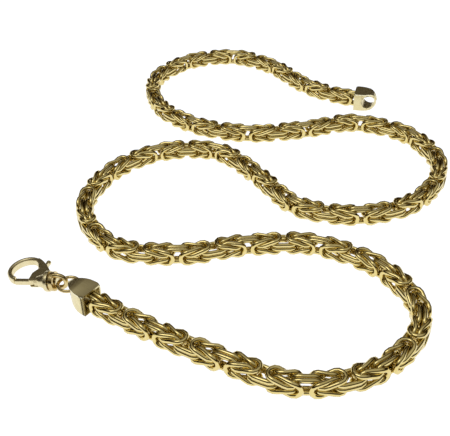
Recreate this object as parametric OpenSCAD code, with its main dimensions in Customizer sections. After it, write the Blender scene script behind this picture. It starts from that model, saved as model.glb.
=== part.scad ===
// Byzantine neck chain, opened and laid on a flat surface in a loose serpentine.
// Millimetres. The surface is at z = 0, the front of the serpentine faces -Y.
// Each strand of links is a solid tube of the chain's outer size along the same route.

/* [Chain] */
// Wire diameter of the links; the woven chain is four wires wide and four wires high
wire_d = 1.2; // [1.0:0.05:1.25]
// Rounding of the woven chain's four long edges
edge_r = 1.0; // [0.6:0.1:1.4]
// Length of chain that sits inside each end cap
cap_seat = 1.2; // [0.8:0.1:1.5]

/* [End caps] */
// Gap between the chain and the inside of a cap, all round
chain_gap = 0.1; // [0.05:0.05:0.2]
// Thickness of a cap's cheeks
cheek_t = 0.35; // [0.3:0.05:0.5]
// Thickness of a cap's top plate and floor
plate_t = 0.4; // [0.3:0.05:0.5]
// How far the top plate stands out over the cheeks
plate_lip = 0.2; // [0.1:0.05:0.3]
// Depth of the mouth beyond the end of the chain
mouth_spare = 0.3; // [0.2:0.05:0.5]
// Straight length of a cap before its sides curve in to the nose
cap_straight = 1.5; // [1.0:0.1:2.0]
// Length of the front cap, which carries the jump ring
front_cap_l = 7.5; // [7.2:0.1:8.0]
// Height of the front cap's nose above the surface
front_nose_z = 5.0; // [4.8:0.1:5.3]
// Length of the back cap, which is the eye that the clasp hooks into
back_cap_l = 7.2; // [6.6:0.1:7.8]
// Radius of the back cap's eye
eye_hole_r = 2.05; // [1.8:0.05:2.1]
// Distance from the tip of the back cap to the edge of its eye
eye_wall = 0.75; // [0.6:0.05:0.85]

/* [Jump ring] */
// Wire diameter of the jump ring
ring_wire = 0.8; // [0.6:0.05:0.85]
// Radius of the jump ring to the middle of its wire
ring_r = 2.6; // [2.5:0.05:2.8]
// Radius of the hole in the front cap's nose
nose_bore_r = 0.8; // [0.75:0.05:0.85]
// Distance from the tip of the front cap to the edge of its hole
nose_wall = 0.6; // [0.5:0.05:0.75]
// Height of the jump ring and of the hole above the surface
ring_z = 3.3; // [3.1:0.1:3.4]
// How far the middle of the jump ring lies beside the front cap's axis
ring_side = 0.4; // [0:0.1:0.5]

/* [Swivel] */
// Diameter of the flange at the tail of the clasp
collar_d = 5.1; // [4.9:0.1:5.3]
// Thickness of that flange
collar_t = 1.0; // [0.8:0.1:1.2]
// Gap between the flange and the base of the swivel eye
swivel_gap = 0.35; // [0.2:0.05:0.4]
// Diameter of the swivel eye's base
base_d = 4.8; // [4.5:0.1:5.0]
// Thickness of the swivel eye's base
base_t = 1.0; // [0.8:0.1:1.2]
// Diameter of the rivet post that the swivel turns on
post_d = 1.2; // [1.0:0.1:1.4]
// Radial running clearance of the post in the base, and of the pin in the lever
pivot_gap = 0.04; // [0.03:0.01:0.08]
// Diameter of the post's rivet head, inside the eye
head_d = 2.0; // [1.8:0.1:2.2]
// Gap between the rivet head and the base
head_gap = 0.1; // [0.05:0.05:0.15]
// Thickness of the rivet head
head_t = 0.3; // [0.2:0.05:0.4]
// Wire diameter of the swivel eye
eye_wire = 1.15; // [1.0:0.05:1.2]
// Length of the eye's straight sides, beyond its base
eye_side_l = 0.9; // [0.7:0.1:1.1]
// Radius of the eye's round end, to the middle of its wire
eye_r = 1.8; // [1.7:0.05:1.85]
// Play between the jump ring's wire and the eye's round end
eye_play = 0.6; // [0.4:0.05:0.7]
// Clearance between the jump ring's wire and the inner edge of the cap's hole
ring_gap = 0.1; // [0.05:0.05:0.2]

/* [Clasp] */
// Thickness of the clasp's body and hook
clasp_t = 2.2; // [2.0:0.1:2.4]
// Radius of the hook, to the middle of its band
hook_r = 3.9; // [3.7:0.05:4.1]
// Width of the hook's band
hook_w = 1.2; // [1.0:0.1:1.3]
// Distance from the flange to the centre of the hook, along the swivel's axis
hook_x = 8.0; // [7.8:0.1:8.4]
// Distance from the swivel's axis to the centre of the hook
hook_y = 3.8; // [3.6:0.1:4.0]
// Chamfer along the hook's edges
hook_bevel = 0.35; // [0.2:0.05:0.45]
// Angle at which the hook's tip ends, past the point furthest from the flange
hook_tip_angle = 72; // [70:1:76]
// Thickness of the lever
lever_t = 1.2; // [1.0:0.1:1.3]
// Gap on each side of the lever in its slot
lever_gap = 0.08; // [0.06:0.01:0.12]
// Gap round the lever's outline in its slot
slot_gap = 0.15; // [0.1:0.05:0.2]
// Width of the lever's gate bar
gate_w = 1.1; // [0.9:0.1:1.2]
// Gap between the end of the gate and the hook's tip
gate_gap = 0.15; // [0.1:0.05:0.3]
// Radius of the lever's hub
hub_r = 0.85; // [0.75:0.05:0.95]
// Diameter of the pin that the lever turns on
pin_d = 0.8; // [0.6:0.1:0.9]
// Distance from the flange to the front of the body, beside the gate
body_front = 5.3; // [5.1:0.1:5.5]
// Half width of the body where it meets the flange, on the side away from the gate
neck_half = 2.2; // [2.0:0.1:2.3]
// Distance from the flange to the lever's pin
pin_x = 3.5; // [3.3:0.1:3.7]
// Distance from the swivel's axis to the lever's pin, towards the gate
pin_y = 0.3; // [0.2:0.1:0.4]
// Width of the lever's thumb arm
thumb_w = 0.6; // [0.5:0.1:0.8]
// Length of the thumb arm, from the pin to the middle of its knob
thumb_l = 7.3; // [7.2:0.1:7.5]
// Radius of the thumb knob
knob_r = 0.65; // [0.55:0.05:0.7]
// How far the gate swings open
gate_open = 24; // [18:1:26]

/* [Hidden] */
$fn = 48;

chain_w = 4 * wire_d;
cheek_half = chain_w / 2 + chain_gap + cheek_t;
plate_half = cheek_half + plate_lip;
cap_h = chain_w + 2 * (chain_gap + plate_t);
chain_z = chain_w / 2;
mouth_z = cap_h / 2;
mouth_depth = cap_seat + mouth_spare;

// Route of the chain's middle line from the front cap's mouth to the back cap's mouth.
// Neighbouring points are one weave repeat apart.
ROUTE = [
    [-36, -52], [-21.5, -62], [-6, -71.5], [10.5, -79], [28, -74.5], [38.5, -60.5], [33.5, -44],
    [18.5, -33], [1, -32], [-16.5, -35], [-33.5, -31], [-42.5, -15], [-38, 2.5], [-24, 14],
    [-6.5, 13.5], [5, -0.5], [15, -16], [32.5, -20.5], [48.5, -13.5], [57, 2.5], [52, 19.5],
    [36.5, 28.5], [19.5, 25], [2, 24], [-15, 31], [-26, 45], [-27.5, 62], [-17, 76], [0, 79.5],
    [14, 70], [24, 55], [39, 44]];
// Puts the origin under the middle of the whole piece
middle = [0.4, 0.45];
way = [for (q = ROUTE) q - middle];
// Directions in which the noses of the two caps point
front_turn = 141;
back_turn = -16;
// Direction in which the clasp points away from the jump ring
clasp_turn = 168;
// How far the swivel's axis passes beside the middle of the jump ring
eye_side = 1.0;

spans = len(way) - 1;
front_mouth = way[0];
back_mouth = way[spans];
rings = 76;
middle_ring = rings / 2;
pull = norm(way[1] - way[0]);
overlap = 0.05;

function turned(a) = [cos(a), sin(a)];
function slope(i) =
    i == 0 ? -pull * turned(front_turn)
    : i == spans ? pull * turned(back_turn)
    : (way[i + 1] - way[i - 1]) / 2;
function height(i) = i == 0 || i == spans ? mouth_z : chain_z;

// Smooth curve through the route's points; t counts the points
function blend(p, q, m, n, s) =
    (2 * s * s * s - 3 * s * s + 1) * p + (s * s * s - 2 * s * s + s) * m
    + (3 * s * s - 2 * s * s * s) * q + (s * s * s - s * s) * n;
function span_of(t) = min(floor(t), spans - 1);
function place(t) =
    let (i = span_of(t), s = t - i, q = blend(way[i], way[i + 1], slope(i), slope(i + 1), s))
    [q.x, q.y, blend(height(i), height(i + 1), 0, 0, s)];
function heading(t) =
    let (e = 0.01, a = place(max(t - e, 0)), b = place(min(t + e, spans)), d = b - a)
    d / norm(d);

// Twelve-sided section of the woven chain, a square with rounded edges
function section() =
    let (r = edge_r, c = chain_w / 2 - r)
    [for (k = [0:3]) for (j = [0:2])
        let (a = 90 * k + 45 * j, sx = cos(90 * k + 45), sy = sin(90 * k + 45))
        [sign(sx) * c + r * cos(a), sign(sy) * c + r * sin(a)]];
function ring_at(p, d) =
    let (side = [d.y, -d.x, 0] / norm([d.x, d.y]))
    [for (q = section()) p + side * q.x + [0, 0, q.y]];
function tube_faces(n, m) = concat(
    [[for (k = [0:m - 1]) k]],
    [for (i = [0:n - 2]) for (k = [0:m - 1])
        [i * m + k, (i + 1) * m + k, (i + 1) * m + (k + 1) % m, i * m + (k + 1) % m]],
    [[for (k = [m - 1:-1:0]) (n - 1) * m + k]]);

module tube(stations) {
    sides = len(section());
    points = [for (s = stations) each ring_at(s[0], s[1])];
    polyhedron(points, tube_faces(len(stations), sides), convexity = 8);
}

function station(i) = let (t = i * spans / rings) [place(t), heading(t)];
function end_station(t, out) = [place(t) + cap_seat * [out.x, out.y, 0], heading(t)];

module chain_front() color("goldenrod")
    tube(concat([end_station(0, turned(front_turn))], [for (i = [0:middle_ring]) station(i)]));

module chain_back() color("goldenrod")
    tube(concat([for (i = [middle_ring:rings]) station(i)],
                [end_station(spans, turned(back_turn))]));

// End caps, drawn with the mouth at x = 0 and the nose along +X
curve_steps = 10;
function cap_plan(l, half) =
    let (near = [for (k = [0:curve_steps]) let (a = 90 * k / curve_steps)
        [cap_straight + (l - cap_straight) * sin(a), half * pow(max(cos(a), 0), 1.5)]])
    concat([[0, half]], near, [for (k = [curve_steps - 1:-1:0]) [near[k].x, -near[k].y]],
           [[0, -half]]);
function cap_top(l, nose, top_u, drop) =
    [for (k = [0:curve_steps]) let (a = 90 * k / curve_steps)
        [top_u + (l - top_u) * sin(a), nose - drop + (cap_h - nose) * cos(a)]];
function cap_low(l, nose, low_u) =
    [for (k = [curve_steps - 1:-1:0]) let (a = 90 * k / curve_steps)
        [low_u + (l - low_u) * sin(a), nose - nose * cos(a)]];
function backwards(v) = [for (k = [len(v) - 1:-1:0]) v[k]];

module across(w) rotate([90, 0, 0]) linear_extrude(w, center = true) children();

module cap_form(l, nose, top_u, low_u) {
    side = concat([[0, 0], [0, cap_h]], cap_top(l, nose, top_u, 0), cap_low(l, nose, low_u));
    lid = concat([[0, cap_h - plate_t], [0, cap_h]], cap_top(l, nose, top_u, 0),
                 backwards(cap_top(l, nose, top_u, plate_t)));
    difference() {
        union() {
            intersection() {
                across(2 * plate_half) polygon(side);
                linear_extrude(cap_h) polygon(cap_plan(l - plate_lip, cheek_half));
            }
            intersection() {
                across(2 * plate_half + plate_lip) polygon(lid);
                linear_extrude(cap_h + plate_t) polygon(cap_plan(l, plate_half));
            }
        }
        translate([-plate_t, -chain_w / 2 - chain_gap, plate_t])
            cube([plate_t + mouth_depth, chain_w + 2 * chain_gap, chain_w + 2 * chain_gap]);
    }
}

front_top_u = 3.5;
front_low_u = 1.8;
nose_bore_u = front_cap_l - nose_wall - nose_bore_r;
module front_cap() color("gold")
    translate(front_mouth) rotate(front_turn) difference() {
        cap_form(front_cap_l, front_nose_z, front_top_u, front_low_u);
        translate([nose_bore_u, 0, ring_z]) rotate([90, 0, 0])
            cylinder(h = 3 * plate_half, r = nose_bore_r, center = true);
    }

eye_hole_u = back_cap_l - eye_wall - eye_hole_r;
module back_cap() color("gold")
    translate(back_mouth) rotate(back_turn) difference() {
        cap_form(back_cap_l, cap_h / 2, eye_hole_u, eye_hole_u);
        translate([eye_hole_u, 0, cap_h / 2]) rotate([90, 0, 0])
            cylinder(h = 3 * plate_half, r = eye_hole_r, center = true);
    }

// Jump ring, lying level through the front cap's nose and the swivel eye
ring_u = nose_bore_u - nose_bore_r + ring_gap + ring_wire / 2 + ring_r;
ring_at_x = front_mouth.x + ring_u * cos(front_turn) + ring_side * sin(front_turn);
ring_at_y = front_mouth.y + ring_u * sin(front_turn) - ring_side * cos(front_turn);
module jump_ring() color("gold")
    translate([ring_at_x, ring_at_y, ring_z])
        rotate_extrude() translate([ring_r, 0]) circle(d = ring_wire, $fn = 24);

// Swivel and clasp, drawn with the swivel's axis along X and the hook towards -Y.
// The flange and the hook's far end both touch the surface.
collar_r = collar_d / 2;
hook_reach = hook_x + hook_r + hook_w / 2 - hook_bevel;
clasp_tilt = atan((collar_r - clasp_t / 2) / (hook_reach - collar_t));
swivel_z = collar_r * cos(clasp_tilt) + collar_t * sin(clasp_tilt);
base_x = -swivel_gap - base_t;
eye_x = base_x - eye_side_l;
eye_end_x = eye_x - eye_r + eye_wire / 2;
eye_to_ring = -eye_end_x + ring_r - ring_wire / 2 - eye_play;
clasp_at_x = ring_at_x + eye_to_ring * cos(clasp_turn) + eye_side * sin(clasp_turn);
clasp_at_y = ring_at_y + eye_to_ring * sin(clasp_turn) - eye_side * cos(clasp_turn);
module clasp_frame()
    translate([clasp_at_x, clasp_at_y, swivel_z]) rotate([0, clasp_tilt, clasp_turn]) children();
module along_x(x, l, r) translate([x, 0, 0]) rotate([0, 90, 0]) cylinder(h = l, r = r);

module swivel_eye() color("gold")
    clasp_frame() difference() {
        union() {
            along_x(base_x, base_t, base_d / 2);
            translate([eye_x, 0, 0]) rotate([90, 0, 0]) rotate([0, 0, 90])
                rotate_extrude(angle = 180) translate([eye_r, 0]) circle(d = eye_wire, $fn = 24);
            for (s = [-1, 1]) translate([0, 0, s * eye_r])
                along_x(eye_x, base_x - eye_x + base_t / 2, eye_wire / 2, $fn = 24);
        }
        along_x(base_x - overlap, base_t + 2 * overlap, post_d / 2 + pivot_gap);
    }

gate_l = hook_x - pin_x + (hook_y + pin_y - gate_w / 2) * tan(90 - hook_tip_angle) - gate_gap;
thumb_turn = -92;
module lever_plan(grow) {
    circle(r = hub_r + grow);
    translate([0, -gate_w / 2 - grow]) square([gate_l + grow, gate_w + 2 * grow]);
    rotate(thumb_turn) translate([0, -thumb_w / 2 - grow]) square([thumb_l, thumb_w + 2 * grow]);
}

module clasp_lever() color("gold")
    clasp_frame() translate([pin_x, pin_y, 0]) difference() {
        union() {
            linear_extrude(lever_t, center = true) lever_plan(0);
            rotate(thumb_turn) translate([thumb_l, 0, 0]) sphere(r = knob_r, $fn = 24);
        }
        cylinder(h = 2 * lever_t, r = pin_d / 2 + pivot_gap, center = true);
    }

hook_in = hook_r - hook_w / 2;
hook_out = hook_r + hook_w / 2;
body_near = pin_y + hub_r;
neck_l = 3.2;
neck_taper = 0.85;
// The body's back runs into the hook's outside at this angle, and straight on this far
back_angle = 240;
back_run = 2.8;
hook_turns = 250;
slot_steps = 4;
curve_mix = [for (k = [0:curve_steps]) k / curve_steps];
hook_side = [hook_x, -hook_y] + hook_out * turned(back_angle);
back_bend = hook_side + back_run * turned(back_angle - 90);
neck_side = [collar_t / 2, -neck_half];
module hook_section() translate([hook_r, 0]) polygon([
    [-hook_w / 2, hook_bevel - clasp_t / 2], [hook_bevel - hook_w / 2, -clasp_t / 2],
    [hook_w / 2 - hook_bevel, -clasp_t / 2], [hook_w / 2, hook_bevel - clasp_t / 2],
    [hook_w / 2, clasp_t / 2 - hook_bevel], [hook_w / 2 - hook_bevel, clasp_t / 2],
    [hook_bevel - hook_w / 2, clasp_t / 2], [-hook_w / 2, clasp_t / 2 - hook_bevel]]);
module body_plan() difference() {
    polygon(concat(
        [[collar_t / 2, body_near], [body_front - hook_bevel, body_near],
         [body_front, body_near - hook_bevel], [body_front, -hook_y / 2],
         [hook_x - hook_r, -hook_y], [hook_side.x + hook_w, hook_side.y + hook_w]],
        [for (s = curve_mix)
            (1 - s) * (1 - s) * hook_side + 2 * s * (1 - s) * back_bend + s * s * neck_side]));
    translate([hook_x, -hook_y]) circle(r = hook_in);
    translate([body_front + hook_in - slot_gap, -hook_y]) circle(r = hook_in);
}
module slot_plan() {
    for (k = [0:slot_steps]) rotate(-gate_open * k / slot_steps) lever_plan(slot_gap);
    square([gate_l, 2 * hub_r]);
}

module clasp_body() color("gold")
    clasp_frame() {
        difference() {
            union() {
                linear_extrude(clasp_t, center = true) body_plan();
                translate([hook_x, -hook_y, 0]) rotate(hook_tip_angle - hook_turns)
                    rotate_extrude(angle = hook_turns) hook_section();
                translate([collar_t / 2, 0, 0]) rotate([0, 90, 0])
                    cylinder(h = neck_l, r1 = collar_r * neck_taper, r2 = clasp_t / 2);
            }
            translate([pin_x, pin_y, -lever_t / 2 - lever_gap])
                linear_extrude(lever_t + 2 * lever_gap) slot_plan();
        }
        translate([pin_x, pin_y, 0]) cylinder(h = clasp_t, d = pin_d, center = true);
        along_x(0, collar_t, collar_r);
        along_x(base_x - head_gap - head_t / 2, head_gap + head_t / 2 - base_x + collar_t / 2,
                post_d / 2);
        along_x(base_x - head_gap - head_t, head_t, head_d / 2);
    }

chain_front();
chain_back();
front_cap();
back_cap();
jump_ring();
swivel_eye();
clasp_body();
clasp_lever();
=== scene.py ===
import math

import bpy
from mathutils import Matrix, Vector


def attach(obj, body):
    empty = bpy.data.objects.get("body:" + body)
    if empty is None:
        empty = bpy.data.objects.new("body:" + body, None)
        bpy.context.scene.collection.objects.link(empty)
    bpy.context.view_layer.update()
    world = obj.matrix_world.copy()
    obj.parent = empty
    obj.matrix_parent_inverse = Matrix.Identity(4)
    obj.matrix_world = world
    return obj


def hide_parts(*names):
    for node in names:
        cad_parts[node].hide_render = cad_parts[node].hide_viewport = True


# Byzantine neck chain, laid in a loose serpentine on a white surface.
# Metres. The floor is at z = 0 and the front of the serpentine faces -Y.

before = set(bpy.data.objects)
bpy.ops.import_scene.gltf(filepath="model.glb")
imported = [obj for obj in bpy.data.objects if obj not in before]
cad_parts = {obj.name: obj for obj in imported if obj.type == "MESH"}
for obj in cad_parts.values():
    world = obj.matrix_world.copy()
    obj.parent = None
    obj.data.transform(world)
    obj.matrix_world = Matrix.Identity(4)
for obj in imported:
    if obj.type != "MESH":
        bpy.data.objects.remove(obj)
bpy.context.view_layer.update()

MM = 0.001

# Route of the chain's middle line, from the front cap's mouth to the back cap's mouth
ROUTE = [
    (-0.036, -0.052), (-0.0215, -0.062), (-0.006, -0.0715), (0.0105, -0.079), (0.028, -0.0745),
    (0.0385, -0.0605), (0.0335, -0.044), (0.0185, -0.033), (0.001, -0.032), (-0.0165, -0.035),
    (-0.0335, -0.031), (-0.0425, -0.015), (-0.038, 0.0025), (-0.024, 0.014), (-0.0065, 0.0135),
    (0.005, -0.0005), (0.015, -0.016), (0.0325, -0.0205), (0.0485, -0.0135), (0.057, 0.0025),
    (0.052, 0.0195), (0.0365, 0.0285), (0.0195, 0.025), (0.002, 0.024), (-0.015, 0.031),
    (-0.026, 0.045), (-0.0275, 0.062), (-0.017, 0.076), (0, 0.0795), (0.014, 0.07),
    (0.024, 0.055), (0.039, 0.044)]
MIDDLE = Vector((0.4 * MM, 0.45 * MM))
FRONT_TURN = math.radians(141)
BACK_TURN = math.radians(-16)
CLASP_TURN = math.radians(168)
CHAIN_Z = 2.4 * MM
MOUTH_Z = 2.9 * MM
CAP_SEAT = 1.2 * MM

# Links
WIRE_R = 0.6 * MM
KNOTS = 62
FIRST_GAP = 0.3 * MM
FRONT_KNOTS = 31
ARC_STEPS = 6
BAR_STEPS = 3
WIRE_SIDES_RESOLUTION = 1
LINK_HALF_W = 1.78 * MM
LINK_HALF_L = 3.4 * MM
LINK_NEAR = 0.6 * MM
LINK_FAR = 1.78 * MM
HOOK_IN = 1.7 * MM
LOOP_GAP = 0.6 * MM
ROUTE_STEPS = 48
BEND_FROM = 0.2
BEND_TO = 0.85

# Caps, ring and clasp
MERGE = 0.002 * MM
SAME_PLANE = math.radians(1)
SHARP = math.radians(38)
CAP_BEVEL = 0.06 * MM
BEVEL_STEPS = 3
CAP_H = 5.8 * MM
PLATE_T = 0.4 * MM
PLATE_EDGE_TILT = 0.9
PLATE_CORNER = 0.9 * MM
CORNER_STEPS = 5
CORNER_ANGLE = math.radians(55)
RING_OUT = 8.4 * MM
RING_SIDE = 0.4 * MM
RING_R = 2.6 * MM
RING_WIRE_R = 0.4 * MM
RING_STEPS = 64
RING_SIDES = 16
RING_Z = 3.3 * MM
BODY_VOXEL = 0.1 * MM
FINE_VOXEL = 0.07 * MM
SOFTEN = 0.5
BODY_ROUNDS = 12
FINE_ROUNDS = 4


def deselect_all():
    if bpy.context.object and bpy.context.object.mode != "OBJECT":
        bpy.ops.object.mode_set(mode="OBJECT")
    bpy.ops.object.select_all(action="DESELECT")


def make_active(piece):
    deselect_all()
    piece.select_set(True)
    bpy.context.view_layer.objects.active = piece


def apply_modifiers(piece):
    make_active(piece)
    for modifier in list(piece.modifiers):
        bpy.ops.object.modifier_apply(modifier=modifier.name)


def join(pieces, name):
    make_active(pieces[0])
    for other in pieces[1:]:
        other.select_set(True)
    bpy.ops.object.join()
    joined = bpy.context.object
    joined.name = name
    joined.data.name = name
    return joined


def direction(angle):
    return Vector((math.cos(angle), math.sin(angle)))


# The chain's route

def route_curve():
    """The middle line as a Bezier spline whose handles give the same curve as the solid's."""
    way = [Vector(point) - MIDDLE for point in ROUTE]
    last = len(way) - 1
    pull = (way[1] - way[0]).length
    data = bpy.data.curves.new("route", "CURVE")
    data.dimensions = "3D"
    data.resolution_u = ROUTE_STEPS
    data.twist_mode = "Z_UP"
    spline = data.splines.new("BEZIER")
    spline.bezier_points.add(last)
    for i, point in enumerate(spline.bezier_points):
        if i == 0:
            slope = -pull * direction(FRONT_TURN)
        elif i == last:
            slope = pull * direction(BACK_TURN)
        else:
            slope = (way[i + 1] - way[i - 1]) / 2
        height = MOUTH_Z if i in (0, last) else CHAIN_Z
        point.handle_left_type = "FREE"
        point.handle_right_type = "FREE"
        point.co = (way[i].x, way[i].y, height)
        reach = Vector((slope.x, slope.y, 0)) / 3
        point.handle_left = point.co - reach
        point.handle_right = point.co + reach
    curve = bpy.data.objects.new("route", data)
    bpy.context.scene.collection.objects.link(curve)
    return curve, spline.calc_length()


# Links

def link_line(half_w, half_l):
    """Points of a link's middle line: along X, across, counter-clockwise."""
    straight = half_l - half_w
    points = []
    for end in (1, -1):
        for k in range(ARC_STEPS + 1):
            angle = math.pi * k / ARC_STEPS - math.pi / 2
            points.append((end * (straight + half_w * math.cos(angle)),
                           end * half_w * math.sin(angle)))
        for k in range(1, BAR_STEPS):
            points.append((end * straight * (1 - 2 * k / BAR_STEPS), end * half_w))
    return points


def bend(share):
    s = min(max((share - BEND_FROM) / (BEND_TO - BEND_FROM), 0), 1)
    return LINK_NEAR + (LINK_FAR - LINK_NEAR) * s * s * (3 - 2 * s)


def wire_link(name, points):
    """Wire of the links' thickness along a closed line, as a mesh."""
    data = bpy.data.curves.new(name, "CURVE")
    data.dimensions = "3D"
    data.bevel_depth = WIRE_R
    data.bevel_resolution = WIRE_SIDES_RESOLUTION
    spline = data.splines.new("POLY")
    spline.points.add(len(points) - 1)
    for target, point in zip(spline.points, points):
        target.co = (*point, 1)
    spline.use_cyclic_u = True
    link = bpy.data.objects.new(name, data)
    bpy.context.scene.collection.objects.link(link)
    make_active(link)
    bpy.ops.object.convert(target="MESH")
    return bpy.context.object


def connector(side):
    """One of the two flat links side by side between two knots."""
    return wire_link("connector", [(x, side * LINK_NEAR, y)
                                   for x, y in link_line(LINK_HALF_W, LINK_HALF_L)])


def knot_link(pitch, side, mirrored):
    """A folded link: its near end is in the connector, its far end spreads to the outside."""
    near = LINK_HALF_L - HOOK_IN
    far = pitch - LOOP_GAP / 2 - WIRE_R
    half = (far - near) / 2
    points = []
    for x, y in link_line(LINK_HALF_W, half):
        share = (x + half) / (2 * half)
        if mirrored:
            points.append((pitch - near - share * 2 * half, side * bend(share), y))
        else:
            points.append((near + share * 2 * half, y, side * bend(share)))
    return wire_link("knot_link", points)


def quarter_turned(link):
    turned = link.copy()
    turned.data = link.data.copy()
    bpy.context.scene.collection.objects.link(turned)
    turned.data.transform(Matrix.Rotation(math.pi / 2, 4, "X"))
    return turned


def row_of(template, start, step, count):
    """A template repeated along X, each copy with its own mesh."""
    row = template.copy()
    row.data = template.data.copy()
    bpy.context.scene.collection.objects.link(row)
    row.data.transform(Matrix.Translation((start, 0, 0)))
    array = row.modifiers.new("repeat", "ARRAY")
    array.count = count
    array.use_relative_offset = False
    array.use_constant_offset = True
    array.constant_offset_displace = (step, 0, 0)
    apply_modifiers(row)
    return row


def laid_chain(name, curve, pitch, first_knot, last_knot, first_gap, last_gap):
    """The links of one half, built straight along X and bent along the route."""
    rows = []
    knots = [knot_link(pitch, side, mirrored) for side in (1, -1) for mirrored in (False, True)]
    gaps = [connector(side) for side in (1, -1)]
    for templates, first, last in ((knots, first_knot, last_knot), (gaps, first_gap, last_gap)):
        for template in templates:
            turned = quarter_turned(template)
            for parity, shape in ((0, template), (1, turned)):
                start = first if first % 2 == parity else first + 1
                count = (last - start) // 2 + 1
                if count > 0:
                    rows.append(row_of(shape, FIRST_GAP + start * pitch, 2 * pitch, count))
            bpy.data.objects.remove(turned)
            bpy.data.objects.remove(template)
    chain = join(rows, name)
    cut_ends(chain, pitch)
    along = chain.modifiers.new("along the route", "CURVE")
    along.object = curve
    along.deform_axis = "POS_X"
    apply_modifiers(chain)
    make_active(chain)
    bpy.ops.object.shade_smooth()
    return chain


def cut_ends(chain, pitch):
    """The first and last connectors end inside the caps."""
    make_active(chain)
    for x, normal in ((-CAP_SEAT, -1), (FIRST_GAP + KNOTS * pitch + CAP_SEAT, 1)):
        bpy.ops.object.mode_set(mode="EDIT")
        bpy.ops.mesh.select_all(action="SELECT")
        bpy.ops.mesh.bisect(plane_co=(x, 0, 0), plane_no=(normal, 0, 0), use_fill=True,
                            clear_outer=True)
        bpy.ops.object.mode_set(mode="OBJECT")


# Caps, ring and clasp

def own_copy(node, name):
    """The node's solid as a piece of its own, its doubled points merged."""
    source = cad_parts[node]
    piece = bpy.data.objects.new(name, source.data.copy())
    piece.data.transform(source.matrix_world)
    bpy.context.scene.collection.objects.link(piece)
    make_active(piece)
    bpy.ops.object.mode_set(mode="EDIT")
    bpy.ops.mesh.select_all(action="SELECT")
    bpy.ops.mesh.remove_doubles(threshold=MERGE)
    bpy.ops.mesh.normals_make_consistent(inside=False)
    bpy.ops.object.mode_set(mode="OBJECT")
    return piece


def round_plate_corners(piece):
    """The plate's corners beside the mouth, rounded as seen from above."""
    make_active(piece)
    bpy.ops.object.mode_set(mode="EDIT")
    bpy.ops.mesh.select_mode(type="EDGE")
    bpy.ops.mesh.select_all(action="DESELECT")
    bpy.ops.mesh.edges_select_sharp(sharpness=CORNER_ANGLE)
    bpy.ops.object.mode_set(mode="OBJECT")
    mesh = piece.data
    corners = []
    for edge in mesh.edges:
        low, high = (mesh.vertices[i].co for i in edge.vertices)
        upright = (high - low).to_2d().length < MERGE
        if edge.select and upright and (low.z + high.z) / 2 > CAP_H - PLATE_T:
            corners.append(edge)
    for part in (*mesh.vertices, *mesh.edges, *mesh.polygons):
        part.select = False
    for edge in corners:
        edge.select = True
        for i in edge.vertices:
            mesh.vertices[i].select = True
    bpy.ops.object.mode_set(mode="EDIT")
    if corners:
        bpy.ops.mesh.bevel(offset=PLATE_CORNER, segments=CORNER_STEPS, affect="EDGES")
    bpy.ops.object.mode_set(mode="OBJECT")


def cap(node, name, brushed, rim_highlight):
    """An end cap with its edges bevelled, and the bevels and the plate's edge polished and given a
    paler gold, a painted highlight.
    """
    piece = own_copy(node, name)
    bpy.ops.object.mode_set(mode="EDIT")
    bpy.ops.mesh.dissolve_limited(angle_limit=SAME_PLANE)
    bpy.ops.object.mode_set(mode="OBJECT")
    round_plate_corners(piece)
    piece.data.materials.clear()
    for material in (brushed, rim_highlight):
        piece.data.materials.append(material)
    # The plate's edge faces take the second material, the rim's paler gold: a painted highlight.
    for face in piece.data.polygons:
        painted_highlight_edge = abs(face.normal.z) < PLATE_EDGE_TILT and face.center.z > CAP_H - PLATE_T
        face.material_index = 1 if painted_highlight_edge else 0
    bevel = piece.modifiers.new("edges", "BEVEL")
    bevel.width = CAP_BEVEL
    bevel.segments = BEVEL_STEPS
    bevel.limit_method = "ANGLE"
    bevel.angle_limit = SHARP
    # The bevels take the rim's paler gold too, a painted highlight.
    bevel.material = 1
    apply_modifiers(piece)
    make_active(piece)
    bpy.ops.object.shade_smooth_by_angle(angle=SHARP)
    level = piece.modifiers.new("level faces", "WEIGHTED_NORMAL")
    level.keep_sharp = True
    apply_modifiers(piece)
    return piece


def soft_copy(node, name, voxel, rounds):
    """A cast piece: the solid with an even skin and soft edges."""
    piece = own_copy(node, name)
    skin = piece.modifiers.new("even skin", "REMESH")
    skin.mode = "VOXEL"
    skin.voxel_size = voxel
    soft = piece.modifiers.new("soft edges", "SMOOTH")
    soft.factor = SOFTEN
    soft.iterations = rounds
    apply_modifiers(piece)
    make_active(piece)
    bpy.ops.object.shade_smooth()
    return piece


def ring():
    front = Vector(ROUTE[0]) - MIDDLE + RING_OUT * direction(FRONT_TURN)
    front += RING_SIDE * direction(FRONT_TURN - math.pi / 2)
    deselect_all()
    bpy.ops.mesh.primitive_torus_add(major_segments=RING_STEPS, minor_segments=RING_SIDES,
                                     major_radius=RING_R, minor_radius=RING_WIRE_R)
    piece = bpy.context.object
    piece.name = "ring_wire"
    piece.data.transform(Matrix.Translation((front.x, front.y, RING_Z)))
    bpy.ops.object.shade_smooth()
    return piece


# Materials

# How finely each finish is mottled along X, Y and Z, in grains per metre
EVEN_GRAIN = (700, 700, 700)
RIM_GRAIN = (400, 400, 400)
FINDING_GRAIN = (500, 500, 500)
CAP_GRAIN = (400, 9000, 400)
CLASP_GRAIN = (500, 2500, 500)
MOTTLE_DETAIL = 3
DARK_BELOW = 0.3
LIGHT_ABOVE = 0.7


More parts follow.
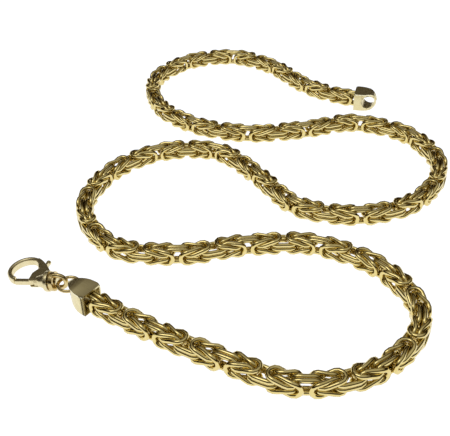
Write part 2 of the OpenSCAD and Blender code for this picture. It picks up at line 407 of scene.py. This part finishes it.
def gold(name, dark, light, roughness, grain, turn):
    """Gold whose tone and polish vary along a grain; an even grain has the same size both ways."""
    material = bpy.data.materials.new(name)
    material.use_nodes = True
    nodes = material.node_tree.nodes
    links = material.node_tree.links
    shader = nodes["Principled BSDF"]
    shader.inputs["Metallic"].default_value = 1
    place = nodes.new("ShaderNodeTexCoord")
    along = nodes.new("ShaderNodeMapping")
    along.inputs["Rotation"].default_value = (0, 0, -turn)
    stretch = nodes.new("ShaderNodeMapping")
    stretch.inputs["Scale"].default_value = grain
    mottle = nodes.new("ShaderNodeTexNoise")
    mottle.inputs["Scale"].default_value = 1
    mottle.inputs["Detail"].default_value = MOTTLE_DETAIL
    links.new(place.outputs["Object"], along.inputs["Vector"])
    links.new(along.outputs["Vector"], stretch.inputs["Vector"])
    links.new(stretch.outputs["Vector"], mottle.inputs["Vector"])
    tone = nodes.new("ShaderNodeValToRGB")
    tone.color_ramp.elements[0].position = DARK_BELOW
    tone.color_ramp.elements[0].color = (*dark, 1)
    tone.color_ramp.elements[1].position = LIGHT_ABOVE
    tone.color_ramp.elements[1].color = (*light, 1)
    links.new(mottle.outputs["Fac"], tone.inputs["Fac"])
    links.new(tone.outputs["Color"], shader.inputs["Base Color"])
    polish = nodes.new("ShaderNodeMapRange")
    polish.inputs["To Min"].default_value = roughness[0]
    polish.inputs["To Max"].default_value = roughness[1]
    links.new(mottle.outputs["Fac"], polish.inputs["Value"])
    links.new(polish.outputs["Result"], shader.inputs["Roughness"])
    return material


def dress(piece, material):
    piece.data.materials.clear()
    piece.data.materials.append(material)


# Stage

# The floor glows by itself, since the photograph shows hardly any shadow on it
FLOOR_GLOW = 1.08
FLOOR_SIZE = 3
FLOOR_TONE = (0.25, 0.25, 0.25, 1)
FLOOR_GLOW_TONE = (0.93, 0.95, 1, 1)
FLOOR_ROUGHNESS = 0.9
KEY_AT = (-0.3, -0.1, 0.8)
KEY_TARGET = (0, 0, 0)
KEY_SIZE = (0.4, 0.4)
KEY_POWER = 0.8


def floor(size):
    deselect_all()
    bpy.ops.mesh.primitive_plane_add(size=size)
    sheet = bpy.context.object
    sheet.name = "floor"
    material = bpy.data.materials.new("white floor")
    material.use_nodes = True
    shader = material.node_tree.nodes["Principled BSDF"]
    shader.inputs["Base Color"].default_value = FLOOR_TONE
    shader.inputs["Roughness"].default_value = FLOOR_ROUGHNESS
    shader.inputs["Specular IOR Level"].default_value = 0
    shader.inputs["Emission Color"].default_value = FLOOR_GLOW_TONE
    shader.inputs["Emission Strength"].default_value = FLOOR_GLOW
    dress(sheet, material)


def soft_light(name, place, target, size, power):
    data = bpy.data.lights.new(name, "AREA")
    data.shape = "RECTANGLE"
    data.size, data.size_y = size
    data.energy = power
    light = bpy.data.objects.new(name, data)
    light.location = place
    light.rotation_euler = (Vector(target) - Vector(place)).to_track_quat("-Z", "Y").to_euler()
    bpy.context.scene.collection.objects.link(light)


# Tones of the surroundings, by the height of a direction: a pale band low round the room, dark
# above it, and a softly lit ceiling
SKY = [
    (0.0, (0.9, 0.9, 0.88)), (0.08, (0.5, 0.46, 0.4)), (0.15, (0.02, 0.012, 0.005)),
    (0.47, (0.02, 0.012, 0.006)), (0.6, (0.14, 0.12, 0.085)), (0.8, (0.42, 0.4, 0.36)),
    (1.0, (0.55, 0.54, 0.51))]


def surroundings():
    world = bpy.data.worlds.new("studio")
    world.use_nodes = True
    nodes = world.node_tree.nodes
    links = world.node_tree.links
    place = nodes.new("ShaderNodeTexCoord")
    split = nodes.new("ShaderNodeSeparateXYZ")
    shade = nodes.new("ShaderNodeValToRGB")
    ramp = shade.color_ramp
    while len(ramp.elements) < len(SKY):
        ramp.elements.new(1)
    for stop, (height, color) in zip(ramp.elements, SKY):
        stop.position = height
        stop.color = (*color, 1)
    links.new(place.outputs["Generated"], split.inputs["Vector"])
    links.new(split.outputs["Z"], shade.inputs["Fac"])
    links.new(shade.outputs["Color"], nodes["Background"].inputs["Color"])
    bpy.context.scene.world = world


# Camera, from the fit of the weave's gaps in the photograph
CAMERA_AT = (-5.2 * MM, -191.15 * MM, 126.5 * MM)
CAMERA_PITCH = math.radians(36.06)
CAMERA_ROLL = math.radians(-1.6)
FOCAL_PX = 797.8
PHOTO_W = 450
SENSOR = 36
CLIP_NEAR = 0.01
CLIP_FAR = 10


def camera():
    data = bpy.data.cameras.new("camera")
    data.sensor_fit = "HORIZONTAL"
    data.sensor_width = SENSOR
    data.lens = FOCAL_PX * SENSOR / PHOTO_W
    data.clip_start = CLIP_NEAR
    data.clip_end = CLIP_FAR
    lens = bpy.data.objects.new("camera", data)
    tilt = Matrix.Rotation(math.pi / 2 - CAMERA_PITCH, 4, "X")
    roll = Matrix.Rotation(CAMERA_ROLL, 4, "Z")
    lens.matrix_world = Matrix.Translation(CAMERA_AT) @ tilt @ roll
    bpy.context.scene.collection.objects.link(lens)
    bpy.context.scene.camera = lens


camera()
surroundings()
floor(FLOOR_SIZE)
soft_light("key", KEY_AT, KEY_TARGET, KEY_SIZE, KEY_POWER)

curve, length = route_curve()
pitch = (length - FIRST_GAP) / KNOTS
polished = gold("polished gold", (0.72, 0.58, 0.22), (0.77, 0.635, 0.28), (0.07, 0.14),
                EVEN_GRAIN, 0)
# The rim's gold is paler than the caps' own: a painted highlight along the bevels and the plate's
# edge. Its lower roughness is real polish.
rim_highlight = gold("polished edge with painted highlight", (0.80, 0.72, 0.46), (0.86, 0.80, 0.56), (0.2, 0.3), RIM_GRAIN, 0)
front_brushed = gold("brushed front cap", (0.70, 0.60, 0.32), (0.78, 0.69, 0.40), (0.26, 0.36),
                     CAP_GRAIN, FRONT_TURN)
back_brushed = gold("brushed back cap", (0.70, 0.60, 0.32), (0.78, 0.69, 0.40), (0.26, 0.36),
                    CAP_GRAIN, BACK_TURN)
# The ring's and the eye's gold is darker than the chain's polished gold: painted shade.
shaded_ring_and_eye_gold = gold("darker ring and eye gold, painted shade", (0.58, 0.44, 0.19), (0.68, 0.55, 0.27), (0.12, 0.22),
               FINDING_GRAIN, 0)
fine_brushed = gold("finely brushed clasp", (0.70, 0.60, 0.34), (0.76, 0.67, 0.41), (0.24, 0.32),
                    CLASP_GRAIN, CLASP_TURN)

chain_front = laid_chain("links_front", curve, pitch, 0, FRONT_KNOTS - 1, 0, FRONT_KNOTS)
chain_back = laid_chain("links_back", curve, pitch, FRONT_KNOTS, KNOTS - 1, FRONT_KNOTS + 1, KNOTS)
bpy.data.objects.remove(curve)
dress(chain_front, polished)
dress(chain_back, polished)
front_cap = cap("front_cap", "cap_front", front_brushed, rim_highlight)
back_cap = cap("back_cap", "cap_back", back_brushed, rim_highlight)
jump_ring = ring()
dress(jump_ring, shaded_ring_and_eye_gold)
eye = soft_copy("swivel_eye", "eye_and_base", FINE_VOXEL, FINE_ROUNDS)
dress(eye, shaded_ring_and_eye_gold)
body = soft_copy("clasp_body", "hook_and_body", BODY_VOXEL, BODY_ROUNDS)
dress(body, fine_brushed)
lever = soft_copy("clasp_lever", "gate_and_thumb", FINE_VOXEL, FINE_ROUNDS)
dress(lever, fine_brushed)

for piece, node, rides, slot in (
        (chain_front, "chain_front", "necklace", "chain_gold"),
        (chain_back, "chain_back", "necklace", "chain_gold"),
        (front_cap, "front_cap", "necklace", "cap_gold"),
        (back_cap, "back_cap", "necklace", "cap_gold"),
        (jump_ring, "jump_ring", "necklace", "finding_gold"),
        (eye, "swivel_eye", "necklace", "finding_gold"),
        (body, "clasp_body", "clasp", "clasp_gold"),
        (lever, "clasp_lever", "lever", "clasp_gold")):
    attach(piece, rides)
    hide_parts(node)

bpy.context.scene.view_settings.view_transform = "Standard"
